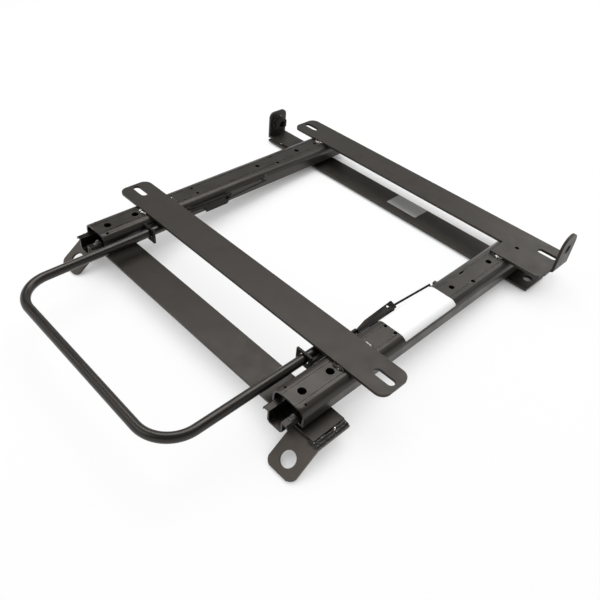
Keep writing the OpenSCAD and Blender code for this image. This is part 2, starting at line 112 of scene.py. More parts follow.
def share(name, text, default):
    """A share from 0 to 1"""
    return FloatProperty(name=name, description=text, default=default, subtype="FACTOR", min=0, max=1)


class SlideRailFinish(bpy.types.PropertyGroup):
    """Colours and sheen of the parts"""
    plate_paint: colour("Plate paint", "Satin paint of the plates, bars and feet", (0.0225, 0.0192, 0.0165))
    rail_paint: colour("Rail paint", "Paint of the two pairs of rails", (0.0195, 0.0170, 0.0147))
    handle_paint: colour("Handle paint", "Glossier paint of the handle bar", (0.0080, 0.0070, 0.0061))
    lever_paint: colour("Lever finish", "Dark finish of the levers and brackets", (0.0085, 0.0076, 0.0069))
    # Lighter colour at edges: thinned paint, and a painted highlight along them
    thin_paint_and_highlight: colour("Thin paint", "Colour where the paint is thin at an edge", (0.210, 0.196, 0.180))
    dust: colour("Dust", "Colour of the fine dust on upper faces", (0.120, 0.112, 0.100))
    bright_steel: colour("Bright steel", "Balls, pins and bare spots", (0.56, 0.55, 0.53))
    stop_grey: colour("Stop grey", "Nylon of the stops under the overspray", (0.115, 0.108, 0.100))
    label_white: colour("Label white", "Paper of the rail's label", (0.90, 0.90, 0.90))
    label_rule: colour("Label border", "Thin printed border of the labels", (0.62, 0.62, 0.63))
    foil_silver: colour("Foil", "Silver sticker on the rear bar", (0.43, 0.43, 0.42))
    paint_roughness: share("Paint roughness", "Roughness of the satin paint", 0.42)
    handle_roughness: share("Handle roughness", "Roughness of the handle's paint", 0.30)
    lever_roughness: share("Lever roughness", "Roughness of the levers' finish", 0.40)
    sheen_tint: colour("Sheen tint", "Warm tint of the paint's reflections", (1.0, 0.93, 0.86))
    mottle: share("Mottle", "How far the paint's colour varies", 0.16)
    # Painted shade: how far recesses found by ambient occlusion take a darker colour
    recess_shade: share("Grime", "How far recesses are darkened by old grease", 0.75)
    # How strongly edges show thinned paint and their painted highlight
    wear_and_highlight: share("Edge wear", "How much the edges show", 0.48)


class SlideRailSizes(bpy.types.PropertyGroup):
    """Sizes of what is added to the solids"""
    plate_edge: length("Plate edge", "Rounding of sheared edges", 0.35 * MM)
    rail_edge: length("Rail edge", "Rounding of the rails' edges", 0.25 * MM)
    bead_width: length("Weld width", "Width of a row of the feet's welds", 5.6 * MM)
    bead_pitch: length("Weld ripple", "Distance between a bead's ripples", 1.9 * MM)
    bead_flatness: share("Weld flatness", "Height of the feet's welds as a share of their width", 0.62)
    tack_width: length("Tack width", "Width of the small welds on the rails", 4.2 * MM)
    tack_pitch: length("Tack ripple", "Distance between a tack's ripples", 1.3 * MM)
    tack_flatness: share("Tack flatness", "Height of the tacks as a share of their width", 0.8)
    nut_bead: length("Nut weld", "Width of the bead round the bracket's nut", 2.6 * MM)
    pivot_bead: length("Pivot weld", "Width of the beads on the handle's pivot brackets", 2.4 * MM)
    fine_pitch: length("Fine ripple", "Distance between the ripples of the small beads", 0.9 * MM)
    stop_width: length("Stop width", "Width of a stop's ridge and knob", 4.5 * MM)
    ridge_h: length("Stop ridge", "Height of a stop's ridge", 1.0 * MM)
    head_d: length("Pin head", "Diameter of a pin's head", 8.0 * MM)
    head_h: length("Pin head height", "Height of a pin's head", 1.8 * MM)
    lever_head_d: length("Hinge head", "Diameter of a lever's hinge pin's head", 4.6 * MM)
    lever_head_h: length("Hinge head height", "Height of a lever's hinge pin's head", 1.1 * MM)
    thread_r: length("Thread radius", "Radius of the bracket nut's thread", 5.0 * MM)
    thread_pitch: length("Thread pitch", "Pitch of the bracket nut's thread", 1.25 * MM)
    label_t: length("Label thickness", "Thickness of the labels", 0.12 * MM)
    label_corner: length("Label corner", "Radius of the rail label's corners", 1.4 * MM)
    label_len: length("Label length", "Length of the rail's label", 83.0 * MM)
    label_width: length("Label width", "Width of the rail's label, laid flat", 39.5 * MM)
    foil_corner: length("Foil corner", "Radius of the foil's corners", 1.2 * MM)
    foil_len: length("Foil length", "Length of the rear bar's foil", 48.0 * MM)
    foil_width: length("Foil width", "Width of the rear bar's foil", 26.0 * MM)
    weld_seed: IntProperty(name="Weld seed", description="Seed of the welds' unevenness", default=7)


class SlideRailStage(bpy.types.PropertyGroup):
    """Floor, light and camera"""
    azimuth: number("Azimuth", "Camera's turn round the part, degrees", 42.25)
    elevation: number("Elevation", "Camera's height angle, degrees", 41.31)
    roll: number("Roll", "Camera's roll, degrees", 5.91)
    distance: length("Distance", "Camera to the point it looks at", 0.6298)
    target: FloatVectorProperty(name="Target", description="Point that the camera looks at", size=3,
                                default=(0.0711, -0.1322, 0.0), subtype="TRANSLATION", unit="LENGTH")
    lens: number("Lens", "Focal length in mm on a 36 mm sensor", 37.8)
    world_level: number("Room light", "Strength of the even room light", 0.50)
    ceiling: colour("Ceiling", "Colour of the room above the backdrop, in reflections", (0.25, 0.25, 0.25))
    lamp_power: number("Softbox", "Power of the overhead softbox, W", 17.0)
    fill_power: number("Fill", "Power of the softbox at the front left, W", 5.5)
    strip_power: number("Strip", "Power of the strip light at the rear, W", 1.8)
    floor_white: colour("Floor", "Colour of the floor", (0.93, 0.935, 0.93))
    floor_glow: share("Floor white", "How far the floor is pure white, over its own shading", 0.84)
    shadow_reach: length("Shadow reach", "How near to the part the floor keeps its own shading", 0.045)


# Helpers for nodes


def add(tree, kind, props=None, inputs=None):
    """A node with its properties set, and its inputs linked or set by name or number"""
    node = tree.nodes.new(kind)
    for key, value in (props or {}).items():
        setattr(node, key, value)
    for key, value in (inputs or {}).items():
        if isinstance(value, bpy.types.NodeSocket):
            tree.links.new(value, node.inputs[key])
        else:
            node.inputs[key].default_value = value
    return node


def maths(tree, operation, a, b=0.0, clamp=False):
    """The result of a Math node"""
    node = add(tree, "ShaderNodeMath", props={"operation": operation, "use_clamp": clamp},
               inputs={0: a, 1: b})
    return node.outputs[0]


def noise(tree, vector, scale, detail=2.0, roughness=0.5):
    """The value of a Noise Texture; scale counts its features in a metre"""
    node = add(tree, "ShaderNodeTexNoise",
               inputs={"Vector": vector, "Scale": scale, "Detail": detail, "Roughness": roughness})
    return node.outputs["Fac"]


def spread(tree, value, low, high, to_low=0.0, to_high=1.0):
    """A value stretched from one range to another and kept inside it"""
    node = add(tree, "ShaderNodeMapRange", inputs={
        "Value": value, "From Min": low, "From Max": high, "To Min": to_low, "To Max": to_high})
    return node.outputs["Result"]


def blend(tree, factor, first, second, mode="MIX"):
    """The colour of a Mix node"""
    node = add(tree, "ShaderNodeMix", props={"data_type": "RGBA", "blend_type": mode},
               inputs={0: factor, 6: first, 7: second})
    return node.outputs[2]


def mixed(tree, factor, first, second):
    """The shader of a Mix Shader node"""
    node = add(tree, "ShaderNodeMixShader", inputs={0: factor, 1: first, 2: second})
    return node.outputs[0]


def masked(tree, first, second, amount):
    """The product of two masks and an amount, from 0 to 1"""
    return maths(tree, "MULTIPLY", maths(tree, "MULTIPLY", first, second), amount, clamp=True)


def seen_directly(tree):
    """1 for rays of the camera, of a reflection or through something clear"""
    ray = tree.nodes.new("ShaderNodeLightPath")
    seen = maths(tree, "MAXIMUM", ray.outputs["Is Camera Ray"], ray.outputs["Is Glossy Ray"])
    return maths(tree, "MAXIMUM", seen, ray.outputs["Is Transmission Ray"])


def rgba(values):
    """A colour with full alpha"""
    return (*values, 1.0)


def toned(values, factor):
    """A colour made lighter or darker"""
    return [factor * v for v in values]


def node_group(name, kind, inputs, outputs):
    """An empty node group with named sockets, and its input and output nodes"""
    tree = bpy.data.node_groups.new(name, kind)
    for title, socket_kind, default in inputs:
        socket = tree.interface.new_socket(title, in_out="INPUT", socket_type=socket_kind)
        if default is not None:
            socket.default_value = default
    for title, socket_kind in outputs:
        tree.interface.new_socket(title, in_out="OUTPUT", socket_type=socket_kind)
    return tree, tree.nodes.new("NodeGroupInput"), tree.nodes.new("NodeGroupOutput")


def shader_group(name, outputs, **values):
    """A group that reads a place on the surface and some values, and puts out masks or values"""
    inputs = [("Vector", "NodeSocketVector", None)]
    inputs += [(title, "NodeSocketFloat", default) for title, default in values.items()]
    return node_group(name, "ShaderNodeTree", inputs, [(title, "NodeSocketFloat") for title in outputs])


def use_group(tree, name, **inputs):
    """A shared effect placed in a material, with its own values"""
    return add(tree, "ShaderNodeGroup", props={"node_tree": bpy.data.node_groups[name]}, inputs=inputs)


# Shared surface effects and finishes


def paint_skin_group():
    """Uneven colour, sheen and orange peel of a sprayed coat"""
    tree, source, sink = shader_group("paint_skin", ("Tint", "Sheen", "Height"), Mottle=0.15)
    point = source.outputs["Vector"]
    cloud = noise(tree, point, scale=26.0, detail=3.0, roughness=0.55)
    grain = noise(tree, point, scale=420.0, detail=2.0, roughness=0.6)
    both = maths(tree, "ADD", maths(tree, "MULTIPLY", cloud, 0.65), maths(tree, "MULTIPLY", grain, 0.35))
    centred = maths(tree, "SUBTRACT", both, 0.5)
    swing = maths(tree, "MULTIPLY", centred, maths(tree, "MULTIPLY", source.outputs["Mottle"], 4.0))
    tree.links.new(maths(tree, "ADD", swing, 1.0), sink.inputs["Tint"])
    gloss = noise(tree, point, scale=60.0, detail=3.0)
    tree.links.new(spread(tree, gloss, 0.3, 0.7, -0.07, 0.07), sink.inputs["Sheen"])
    peel = noise(tree, point, scale=900.0, detail=2.0, roughness=0.5)
    wave = noise(tree, point, scale=190.0, detail=1.0)
    height = maths(tree, "ADD", maths(tree, "MULTIPLY", peel, 0.6), maths(tree, "MULTIPLY", wave, 0.4))
    tree.links.new(height, sink.inputs["Height"])


def edge_wear_and_highlight_group():
    """Mask of edges where a coat is thinned and where a painted highlight lightens them, broken up by noise
    """
    tree, source, sink = shader_group("edge_wear_and_highlight", ("Mask",), Radius=0.0006, Amount=0.4)
    rounded = add(tree, "ShaderNodeBevel", props={"samples": 4}, inputs={"Radius": source.outputs["Radius"]})
    flat = tree.nodes.new("ShaderNodeNewGeometry")
    dot = tree.nodes.new("ShaderNodeVectorMath")
    dot.operation = "DOT_PRODUCT"
    tree.links.new(rounded.outputs[0], dot.inputs[0])
    tree.links.new(flat.outputs["Normal"], dot.inputs[1])
    edge = spread(tree, dot.outputs["Value"], 0.99, 0.80)
    chips = noise(tree, source.outputs["Vector"], scale=160.0, detail=4.0, roughness=0.65)
    broken = spread(tree, chips, 0.40, 0.62)
    tree.links.new(masked(tree, edge, broken, source.outputs["Amount"]), sink.inputs["Mask"])


def dust_group():
    """Mask of fine dust on faces that look up"""
    tree, source, sink = shader_group("settled_dust", ("Mask",), Amount=0.1)
    facing = tree.nodes.new("ShaderNodeNewGeometry")
    split = add(tree, "ShaderNodeSeparateXYZ", inputs={"Vector": facing.outputs["Normal"]})
    upward = spread(tree, split.outputs["Z"], 0.55, 0.98)
    drift = noise(tree, source.outputs["Vector"], scale=18.0, detail=5.0, roughness=0.6)
    patches = spread(tree, drift, 0.42, 0.75)
    motes = noise(tree, source.outputs["Vector"], scale=1400.0, detail=1.0)
    specks = spread(tree, motes, 0.60, 0.78)
    loose = maths(tree, "ADD", maths(tree, "MULTIPLY", patches, 0.55), maths(tree, "MULTIPLY", specks, 0.45))
    tree.links.new(masked(tree, upward, loose, source.outputs["Amount"]), sink.inputs["Mask"])


def painted_shade_group():
    """Mask of corners and hollows found by ambient occlusion, where painted shade darkens the colour"""
    tree, source, sink = shader_group("painted_recess_shade", ("Mask",), Reach=0.014, Amount=0.7)
    near = add(tree, "ShaderNodeAmbientOcclusion", props={"samples": 6},
               inputs={"Distance": source.outputs["Reach"]})
    # Painted shade: the less open a spot is, the darker its colour, broken up by noise
    shaded_recess = spread(tree, near.outputs["AO"], 0.80, 0.25)
    shade_patchiness = noise(tree, source.outputs["Vector"], scale=90.0, detail=3.0, roughness=0.6)
    uneven = spread(tree, shade_patchiness, 0.25, 0.70, 0.75, 1.0)
    tree.links.new(masked(tree, shaded_recess, uneven, source.outputs["Amount"]), sink.inputs["Mask"])


def steel_grain_group():
    """Rolling lines and stains of bare steel"""
    tree, source, sink = shader_group("steel_grain", ("Tint", "Sheen", "Height"))
    along_rail = (1.0, 0.06, 1.0)
    stretch = add(tree, "ShaderNodeMapping", inputs={"Vector": source.outputs["Vector"], "Scale": along_rail})
    lines = noise(tree, stretch.outputs["Vector"], scale=1800.0, detail=3.0, roughness=0.6)
    stain = noise(tree, source.outputs["Vector"], scale=120.0, detail=4.0, roughness=0.6)
    tree.links.new(spread(tree, stain, 0.3, 0.7, 0.72, 1.08), sink.inputs["Tint"])
    tree.links.new(spread(tree, lines, 0.3, 0.7, -0.08, 0.08), sink.inputs["Sheen"])
    tree.links.new(lines, sink.inputs["Height"])


def new_material(name):
    """A node material with only its Principled shader, and the object coordinates"""
    material = bpy.data.materials.new(name)
    material.use_nodes = True
    tree = material.node_tree
    shader = tree.nodes["Principled BSDF"]
    place = tree.nodes.new("ShaderNodeTexCoord")
    return material, tree, shader, place.outputs["Object"]


def relief(tree, shader, height, strength, distance):
    """A bump from a height to a shader's normal"""
    bump = add(tree, "ShaderNodeBump", inputs={"Height": height, "Strength": strength, "Distance": distance})
    tree.links.new(bump.outputs["Normal"], shader.inputs["Normal"])


def paint(name, base, roughness, finish, specular=0.40, wear_and_highlight=1.0, dust=0.08, peel=0.10):
    """Sprayed paint with mottle, thinned edges that also carry a painted highlight, a little dust, and
    painted shade in recesses
    """
    edge_reach, shade_tone, dust_dulls = 0.7 * MM, 0.15, 0.5
    material, tree, shader, point = new_material(name)
    skin = use_group(tree, "paint_skin", Vector=point, Mottle=finish.mottle)
    edge = use_group(tree, "edge_wear_and_highlight", Vector=point, Radius=edge_reach, Amount=finish.wear_and_highlight * wear_and_highlight)
    film = use_group(tree, "settled_dust", Vector=point, Amount=dust)
    shaded = blend(tree, 1.0, rgba(base), skin.outputs["Tint"], "MULTIPLY")
    # Thinned paint and a painted highlight lighten the edges
    thin_and_lit = blend(tree, edge.outputs["Mask"], shaded, rgba(finish.thin_paint_and_highlight))
    dusty = blend(tree, film.outputs["Mask"], thin_and_lit, rgba(finish.dust))
    # Painted shade: recesses found by ambient occlusion take a darker copy of the base colour
    shaded_recess = use_group(tree, "painted_recess_shade", Vector=point, Amount=finish.recess_shade)
    painted_shade_colour = rgba(toned(base, shade_tone))
    tree.links.new(blend(tree, shaded_recess.outputs["Mask"], dusty, painted_shade_colour), shader.inputs["Base Color"])
    sheen = maths(tree, "ADD", skin.outputs["Sheen"], roughness)
    rough = maths(tree, "ADD", sheen, maths(tree, "MULTIPLY", film.outputs["Mask"], dust_dulls), clamp=True)
    tree.links.new(rough, shader.inputs["Roughness"])
    shader.inputs["Specular IOR Level"].default_value = specular
    shader.inputs["Specular Tint"].default_value = rgba(finish.sheen_tint)
    relief(tree, shader, skin.outputs["Height"], strength=peel, distance=0.3 * MM)
    return material


def steel(name, base, roughness, metallic=1.0):
    """Bare or plated steel"""
    material, tree, shader, point = new_material(name)
    grain = use_group(tree, "steel_grain", Vector=point)
    stained = blend(tree, 1.0, rgba(base), grain.outputs["Tint"], "MULTIPLY")
    tree.links.new(stained, shader.inputs["Base Color"])
    rough = maths(tree, "ADD", grain.outputs["Sheen"], roughness, clamp=True)
    tree.links.new(rough, shader.inputs["Roughness"])
    shader.inputs["Metallic"].default_value = metallic
    relief(tree, shader, grain.outputs["Height"], strength=0.06, distance=0.1 * MM)
    return material


def weld_finish(name, finish, bare):
    """Painted weld metal with scale and bright flecks, more of them as bare falls"""
    material, tree, shader, point = new_material(name)
    skin = use_group(tree, "paint_skin", Vector=point, Mottle=0.35)
    fleck = spread(tree, noise(tree, point, scale=300.0, detail=2.0, roughness=0.5), bare, bare + 0.05)
    tone = blend(tree, 1.0, rgba(finish.handle_paint), skin.outputs["Tint"], "MULTIPLY")
    tree.links.new(blend(tree, fleck, tone, rgba(finish.bright_steel)), shader.inputs["Base Color"])
    tree.links.new(maths(tree, "MULTIPLY", fleck, 0.9), shader.inputs["Metallic"])
    tree.links.new(spread(tree, skin.outputs["Height"], 0.2, 0.8, 0.22, 0.50), shader.inputs["Roughness"])
    scale_crust = noise(tree, point, scale=700.0, detail=3.0, roughness=0.6)
    relief(tree, shader, scale_crust, strength=0.35, distance=0.3 * MM)
    return material


def nylon_finish(name, finish):
    """Moulded nylon, dulled by overspray"""
    material, tree, shader, point = new_material(name)
    skin = use_group(tree, "paint_skin", Vector=point, Mottle=0.30)
    mist = spread(tree, noise(tree, point, scale=240.0, detail=4.0, roughness=0.6), 0.42, 0.66)
    tone = blend(tree, 1.0, rgba(finish.stop_grey), skin.outputs["Tint"], "MULTIPLY")
    tree.links.new(blend(tree, mist, tone, rgba(finish.rail_paint)), shader.inputs["Base Color"])
    tree.links.new(spread(tree, skin.outputs["Height"], 0.2, 0.8, 0.38, 0.56), shader.inputs["Roughness"])
    relief(tree, shader, skin.outputs["Height"], strength=0.15, distance=0.3 * MM)
    return material


def label_finish(name, base, border, metallic):
    """A blank label: plain stock with a thin border, on the label's own UV map in mm from its edges"""
    material, tree, shader, point = new_material(name)
    uv = tree.nodes.new("ShaderNodeUVMap")
    uv.uv_map = "label"
    split = add(tree, "ShaderNodeSeparateXYZ", inputs={"Vector": uv.outputs["UV"]})
    nearest = maths(tree, "MINIMUM", split.outputs["X"], split.outputs["Y"])
    border_inset, border_half = 1.6, 0.16
    line = maths(tree, "COMPARE", nearest, border_inset)
    line.node.inputs[2].default_value = border_half
    fibre = noise(tree, point, scale=900.0, detail=3.0, roughness=0.6)
    stock = blend(tree, spread(tree, fibre, 0.3, 0.7, 0.0, 0.10), rgba(base), rgba(toned(base, 0.8)))
    edged = blend(tree, maths(tree, "MULTIPLY", line, 0.45), stock, rgba(border))
    tree.links.new(edged, shader.inputs["Base Color"])
    tree.links.new(spread(tree, fibre, 0.3, 0.7, 0.38, 0.52), shader.inputs["Roughness"])
    shader.inputs["Metallic"].default_value = metallic
    relief(tree, shader, noise(tree, point, scale=70.0, detail=2.0), strength=0.10, distance=0.6 * MM)
    return material


# Helpers for pieces


def dress(names, material):
    """Gives CAD nodes a material"""
    for name in names:
        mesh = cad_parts[name].data
        mesh.materials.clear()
        mesh.materials.append(material)


def soften(names, width):
    """Rounds the edges of CAD nodes with modifiers, and leaves their meshes alone"""
    for name in names:
        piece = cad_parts[name]
        joined = piece.modifiers.new("joined_faces", "WELD")
        joined.merge_threshold = 0.02 * MM
        flats = piece.modifiers.new("plain_flats", "DECIMATE")
        flats.decimate_type = "DISSOLVE"
        flats.angle_limit = radians(0.6)
        edge = piece.modifiers.new("soft_edges", "BEVEL")
        edge.width = width
        edge.segments = 2
        edge.limit_method = "ANGLE"
        edge.angle_limit = radians(38)
        edge.harden_normals = True


def piece_from(name, mesh, body, material=None):
    """A finished piece that rides on a body"""
    piece = bpy.data.objects.new(name, mesh)
    bpy.context.scene.collection.objects.link(piece)
    if material is not None:
        mesh.materials.clear()
        mesh.materials.append(material)
    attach(piece, body)
    return piece


def set_input(modifier, title, value):
    """Sets a node modifier's input by its socket's identifier"""
    for item in modifier.node_group.interface.items_tree:
        if item.item_type == "SOCKET" and item.in_out == "INPUT" and item.name == title:
            modifier[item.identifier] = value
            return
    raise KeyError(title)


def grown(name, seed_mesh, tree, values):
    """The plain mesh that a node tree makes from a seed mesh"""
    holder = bpy.data.objects.new(name + "_path", seed_mesh)
    bpy.context.scene.collection.objects.link(holder)
    modifier = holder.modifiers.new("grow", "NODES")
    modifier.node_group = tree
    for title, value in values.items():
        set_input(modifier, title, value)
    depsgraph = bpy.context.evaluated_depsgraph_get()
    mesh = bpy.data.meshes.new_from_object(holder.evaluated_get(depsgraph), depsgraph=depsgraph)
    holder.modifiers.remove(modifier)
    bpy.data.objects.remove(holder)
    if not mesh.polygons:
        raise RuntimeError(name + " came out empty")
    mesh.name = name
    return mesh


def geometry_tree(name, inputs):
    """An empty geometry node tree with named inputs"""
    first = [("Geometry", "NodeSocketGeometry", None)]
    return node_group(name, "GeometryNodeTree", first + inputs, [("Geometry", "NodeSocketGeometry")])


def mark_points(mesh, name, vectors):
    """Gives each point of a seed mesh a vector of its own"""
    attribute = mesh.attributes.new(name, "FLOAT_VECTOR", "POINT")
    for item, vector in zip(attribute.data, vectors):
        item.vector = vector


def marked(tree, name):
    """The vector that mark_points gave"""
    node = add(tree, "GeometryNodeInputNamedAttribute", props={"data_type": "FLOAT_VECTOR"},
               inputs={"Name": name})
    return node.outputs[0]


def finish_tree(tree, geometry, material, sink):
    """Realize Instances, smooth shading and Set Material at the end of a tree"""
    real = add(tree, "GeometryNodeRealizeInstances", inputs={"Geometry": geometry})
    smooth = add(tree, "GeometryNodeSetShadeSmooth", inputs={"Geometry": real.outputs[0]})
    coated = add(tree, "GeometryNodeSetMaterial",
                 inputs={"Geometry": smooth.outputs[0], "Material": material})
    tree.links.new(coated.outputs[0], sink.inputs[0])


def weld_tree():
    """A bead of overlapping ripples along each path, flattened on the surface that it lies on"""
    tree, source, sink = geometry_tree("weld_bead", [
        ("Width", "NodeSocketFloat", 0.005), ("Flatness", "NodeSocketFloat", 1.0),
        ("Pitch", "NodeSocketFloat", 0.0012),
        ("Seed", "NodeSocketInt", 1), ("Finish", "NodeSocketMaterial", None)])
    path = add(tree, "GeometryNodeMeshToCurve", inputs={"Mesh": source.outputs["Geometry"]})
    steps = add(tree, "GeometryNodeResampleCurve", props={"mode": "LENGTH"},
                inputs={"Curve": path.outputs[0], "Length": source.outputs["Pitch"]})
    tangent = tree.nodes.new("GeometryNodeInputTangent")
    turn = add(tree, "FunctionNodeAlignRotationToVector", props={"axis": "Z"},
               inputs={"Vector": tangent.outputs[0]})
    level = add(tree, "FunctionNodeAlignRotationToVector", props={"axis": "X", "pivot_axis": "Z"},
                inputs={"Rotation": turn.outputs[0], "Vector": marked(tree, "across")})
    lean = add(tree, "FunctionNodeRandomValue", props={"data_type": "FLOAT_VECTOR"},
               inputs={"Seed": source.outputs["Seed"]})
    most_lean = Vector((0.35, 0.35, 0.30))
    lean.inputs[0].default_value = -most_lean
    lean.inputs[1].default_value = most_lean
    lean_turn = add(tree, "FunctionNodeEulerToRotation", inputs={0: lean.outputs[0]})
    turned = add(tree, "FunctionNodeRotateRotation", props={"rotation_space": "LOCAL"},
                 inputs={0: level.outputs[0], 1: lean_turn.outputs[0]})
    size = add(tree, "FunctionNodeRandomValue", props={"data_type": "FLOAT"},
               inputs={"Seed": source.outputs["Seed"]})
    smallest, largest = 0.72, 1.12
    size.inputs[2].default_value = smallest
    size.inputs[3].default_value = largest
    half = maths(tree, "MULTIPLY", source.outputs["Width"], 0.5)
    tall = maths(tree, "MULTIPLY", half, source.outputs["Flatness"])
    overlap = 1.15
    deep = maths(tree, "MULTIPLY", source.outputs["Pitch"], overlap)
    form = add(tree, "ShaderNodeCombineXYZ", inputs={"X": half, "Y": tall, "Z": deep})
    ripple = add(tree, "GeometryNodeMeshUVSphere", inputs={"Segments": 16, "Rings": 8, "Radius": 1.0})
    drop = add(tree, "GeometryNodeTransform",
               inputs={"Geometry": ripple.outputs[0], "Scale": form.outputs[0]})
    rows = add(tree, "GeometryNodeInstanceOnPoints", inputs={
        "Points": steps.outputs[0], "Instance": drop.outputs[0], "Rotation": turned.outputs[0]})
    tree.links.new(size.outputs[1], rows.inputs["Scale"])
    finish_tree(tree, rows.outputs[0], source.outputs["Finish"], sink)
    return tree


def head_tree():
    """A low domed head on each point, facing along the points' own direction"""
    tree, source, sink = geometry_tree("pin_heads", [
        ("Diameter", "NodeSocketFloat", 0.008), ("Height", "NodeSocketFloat", 0.0018),
        ("Finish", "NodeSocketMaterial", None)])
    collar_share = 0.8
    turn = add(tree, "FunctionNodeAlignRotationToVector", props={"axis": "Z"},
               inputs={"Vector": marked(tree, "facing")})
    half = maths(tree, "MULTIPLY", source.outputs["Diameter"], 0.5)
    collar = add(tree, "GeometryNodeMeshCylinder", inputs={"Vertices": 32, "Radius": half})
    tree.links.new(maths(tree, "MULTIPLY", source.outputs["Height"], collar_share), collar.inputs["Depth"])
    dome = add(tree, "GeometryNodeMeshUVSphere", inputs={"Segments": 32, "Rings": 12, "Radius": 1.0})
    form = add(tree, "ShaderNodeCombineXYZ", inputs={"X": half, "Y": half, "Z": source.outputs["Height"]})
    crown = add(tree, "GeometryNodeTransform", inputs={"Geometry": dome.outputs[0], "Scale": form.outputs[0]})
    head = tree.nodes.new("GeometryNodeJoinGeometry")
    tree.links.new(collar.outputs[0], head.inputs[0])
    tree.links.new(crown.outputs[0], head.inputs[0])
    rows = add(tree, "GeometryNodeInstanceOnPoints", inputs={
        "Points": source.outputs["Geometry"], "Instance": head.outputs[0], "Rotation": turn.outputs[0]})
    finish_tree(tree, rows.outputs[0], source.outputs["Finish"], sink)
    return tree


def thread_tree():
    """A screw thread's ridge as a spiral round the X axis"""
    tree, source, sink = geometry_tree("screw_thread", [
        ("Radius", "NodeSocketFloat", 0.005), ("Pitch", "NodeSocketFloat", 0.00125),
        ("Length", "NodeSocketFloat", 0.012), ("Start", "NodeSocketVector", None),
        ("Finish", "NodeSocketMaterial", None)])
    turns = maths(tree, "DIVIDE", source.outputs["Length"], source.outputs["Pitch"])
    spiral = add(tree, "GeometryNodeCurveSpiral", inputs={
        "Resolution": 32, "Rotations": turns, "Start Radius": source.outputs["Radius"],
        "End Radius": source.outputs["Radius"], "Height": source.outputs["Length"]})
    ridge_share = 0.55
    ridge_r = maths(tree, "MULTIPLY", source.outputs["Pitch"], ridge_share)
    ridge = add(tree, "GeometryNodeCurvePrimitiveCircle", inputs={"Resolution": 4, "Radius": ridge_r})
    swept = add(tree, "GeometryNodeCurveToMesh",
                inputs={"Curve": spiral.outputs[0], "Profile Curve": ridge.outputs[0]})
    laid = add(tree, "GeometryNodeTransform", inputs={
        "Geometry": swept.outputs[0], "Rotation": (0.0, pi / 2, 0.0), "Translation": source.outputs["Start"]})
    finish_tree(tree, laid.outputs[0], source.outputs["Finish"], sink)
    return tree


def path_mesh(name, paths, across=None):
    """Open polylines as one mesh of edges, from points in mm, with the level direction across each"""
    points, edges, sideways = [], [], []
    for path in paths:
        first = len(points)
        run = Vector(path[-1]) - Vector(path[0])
        side = Vector(across) if across else run.cross(Vector((0, 0, 1))).normalized()
        points += [Vector(p) * MM for p in path]
        edges += [(first + i, first + i + 1) for i in range(len(path) - 1)]
        sideways += [side] * len(path)
    mesh = bpy.data.meshes.new(name)
    mesh.from_pydata(points, edges, [])
    mark_points(mesh, "across", sideways)
    return mesh


def ring(centre, radius, count=24):
    """A closed ring of points in the Y-Z plane, in mm"""
    angles = [2 * pi * i / count for i in range(count + 1)]
    return [(centre[0], centre[1] + radius * cos(a), centre[2] + radius * sin(a)) for a in angles]


def box_mm(node):
    """A CAD node's lowest and highest corners at rest, in mm"""
    low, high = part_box(node)
    return low / MM, high / MM


def rail_middle(side):
    """The middle of a pair of rails across the part, in mm"""
    low, high = box_mm("lower_rail_" + side)
    return (low.x + high.x) / 2


def material(name):
    """A finish by its name"""
    return bpy.data.materials[name]


def rounded_sheet(name, surface, length_mm, width_mm, corner, thickness):
    """A thin label with round corners. surface(across, along) gives its place and outward direction in mm."""
    rows, columns, arc_steps = 56, 36, 6
    mesh = bpy.data.meshes.new(name)
    work = bmesh.new()
    uv_layer = work.loops.layers.uv.new("label")
    ends = [corner * (1 - cos(pi / 2 * i / arc_steps)) for i in range(arc_steps + 1)]
    middle = [corner + (length_mm - 2 * corner) * i / rows for i in range(1, rows)]
    stations = ends + middle + [length_mm - v for v in reversed(ends)]
    grid = []
    for along in stations:
        from_end = min(along, length_mm - along)
        inset = 0.0
        if from_end < corner:
            inset = corner - sqrt(max(corner ** 2 - (corner - from_end) ** 2, 0.0))
        half = width_mm / 2 - inset
        line = []
        for j in range(columns + 1):
            across = half * (2 * j / columns - 1)
            place, out = surface(across, along)
            line.append((work.verts.new((place + out * thickness) * MM), across, along))
        grid.append(line)
    for i in range(len(grid) - 1):
        for j in range(columns):
            corners = [grid[i][j], grid[i][j + 1], grid[i + 1][j + 1], grid[i + 1][j]]
            face = work.faces.new([c[0] for c in corners])
            for loop, (_, across, along) in zip(face.loops, corners):
                loop[uv_layer].uv = (min(along, length_mm - along), width_mm / 2 - abs(across))
            face.smooth = True
    work.normal_update()
    up = sum((f.normal for f in work.faces), Vector())
    if up.z < 0:
        bmesh.ops.reverse_faces(work, faces=work.faces[:])
    bmesh.ops.solidify(work, geom=work.faces[:], thickness=thickness * MM)
    work.to_mesh(mesh)
    work.free()
    return mesh


# Operators


class FinishStep:
    """What every step of the finish shares"""
    bl_options = {"REGISTER", "UNDO"}


